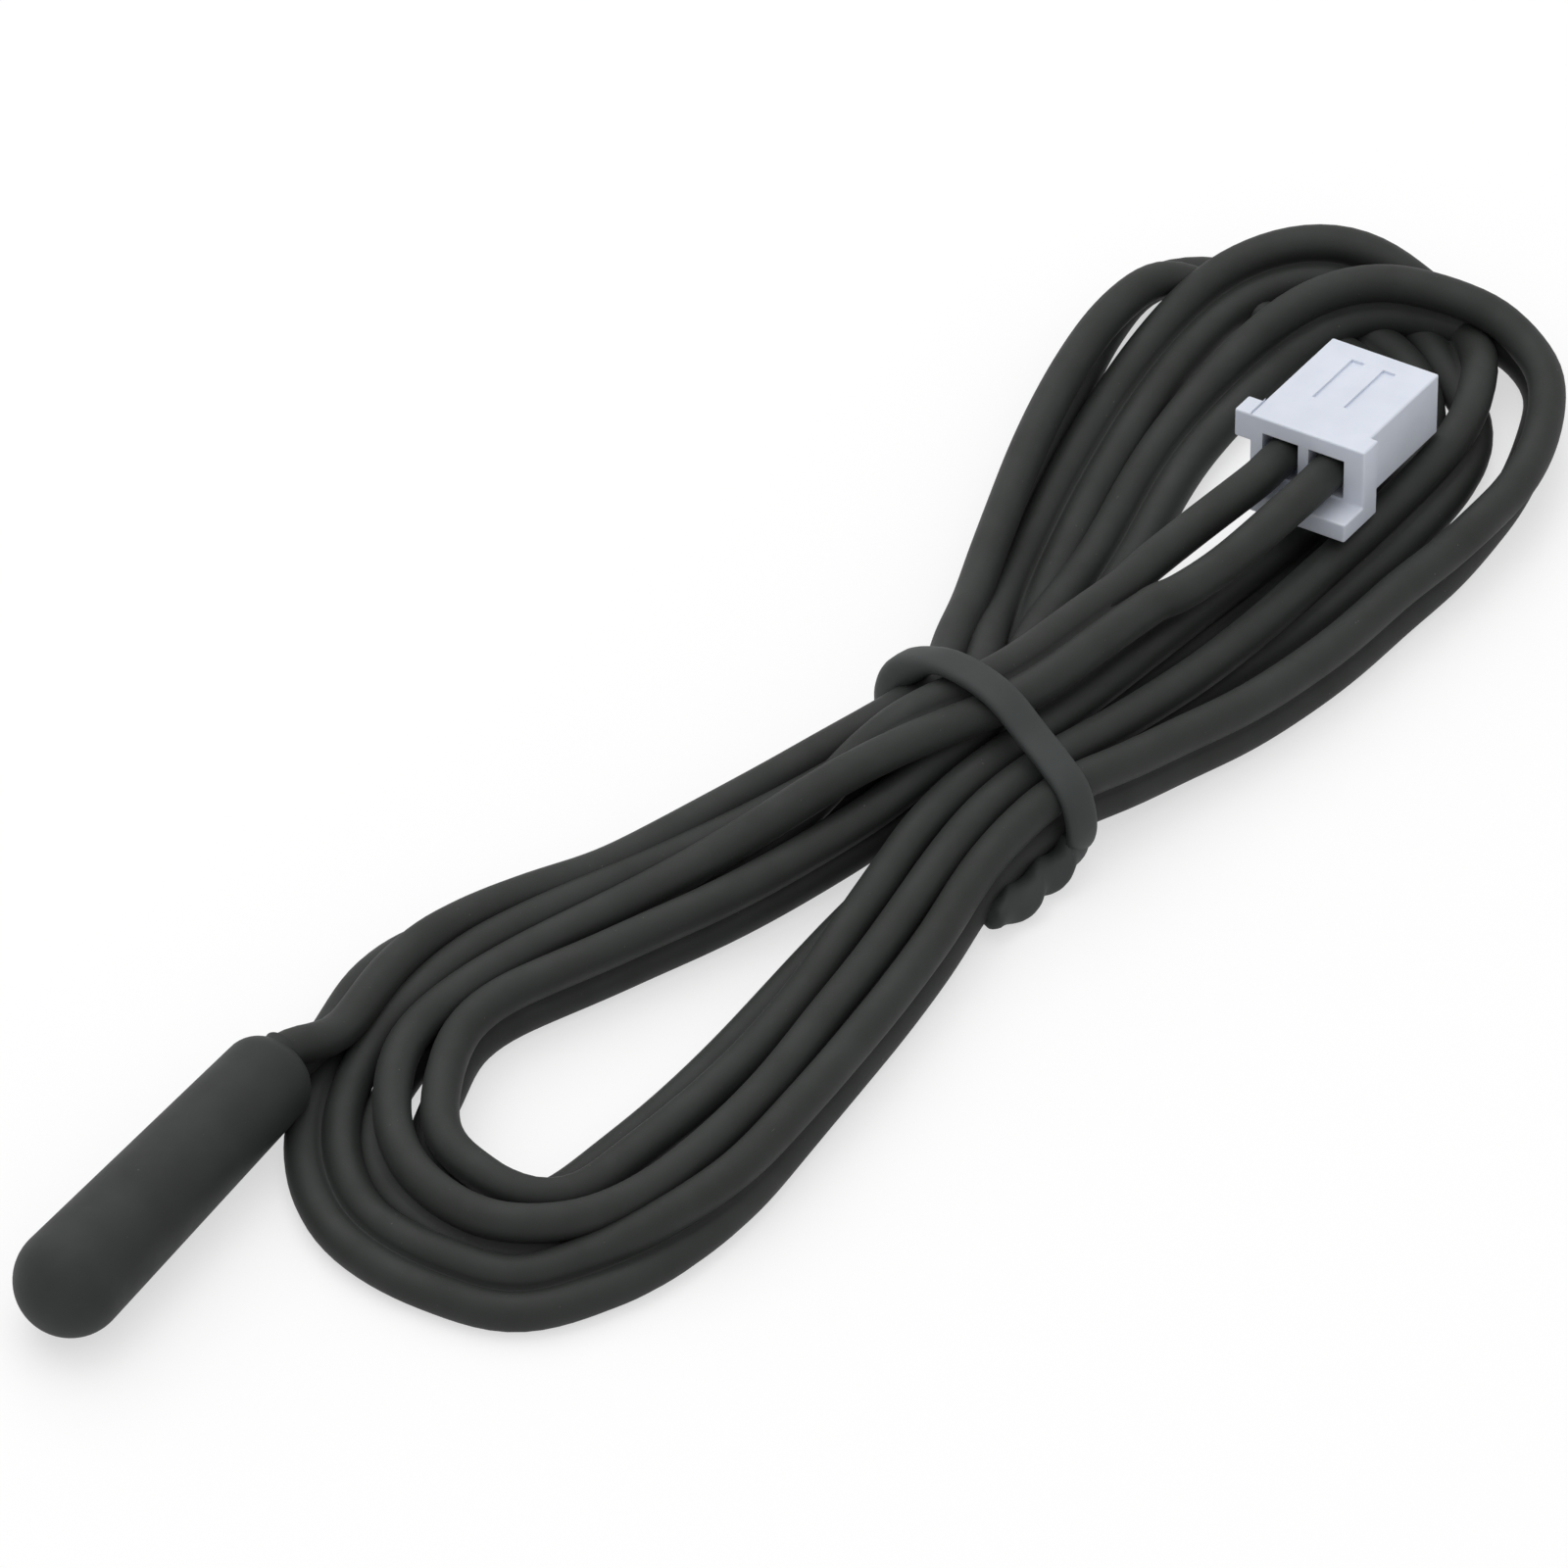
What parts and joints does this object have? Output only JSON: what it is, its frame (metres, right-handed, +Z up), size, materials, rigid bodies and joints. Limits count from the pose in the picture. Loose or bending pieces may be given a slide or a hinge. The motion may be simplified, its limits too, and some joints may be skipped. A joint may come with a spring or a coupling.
{
  "type": "bead thermistor probe with lead and plug",
  "caption": "Moulded bullet sensor head on a flat two-core black lead, wound into a tied bow-tie hank, ending in a white two-way plug.",
  "frame": {"origin": "on the ground under the middle of the moulded sensor head", "axes": "+X along the head from its rounded tip to the lead, +Z up"},
  "size_m": [0.0932, 0.029, 0.0079],
  "materials": {
    "lead_jacket": "satin black flexible PVC",
    "head_moulding": "satin black moulding",
    "inner_resin": "dark first-shot moulding",
    "bead_resin": "dipped resin bead",
    "sleeving": "thin amber insulating sleeve",
    "tinned_metal": "tin-plated copper alloy",
    "copper_strands": "bare stranded copper",
    "tie_plastic": "soft black tie band",
    "plug_white": "moulded white housing"
  },
  "bodies": {
    "root": {"head_mould": "head_moulding", "inner_mould": "inner_resin", "thermistor_bead": "bead_resin", "bead_wire_left": "tinned_metal", "bead_wire_right": "tinned_metal", "joint_ferrule_left": "tinned_metal", "joint_ferrule_right": "tinned_metal", "joint_sleeve_left": "sleeving", "joint_sleeve_right": "sleeving", "conductor_left": "copper_strands", "conductor_right": "copper_strands", "head_lead": "lead_jacket", "cable_hank": "lead_jacket", "tie_band": "tie_plastic", "tail_lead": "lead_jacket", "core_left": "lead_jacket", "core_right": "lead_jacket", "plug_housing": "plug_white", "plug_contact_left": "tinned_metal", "plug_contact_right": "tinned_metal", "crimped_end_left": "copper_strands", "crimped_end_right": "copper_strands"}
  },
  "joints": []
}
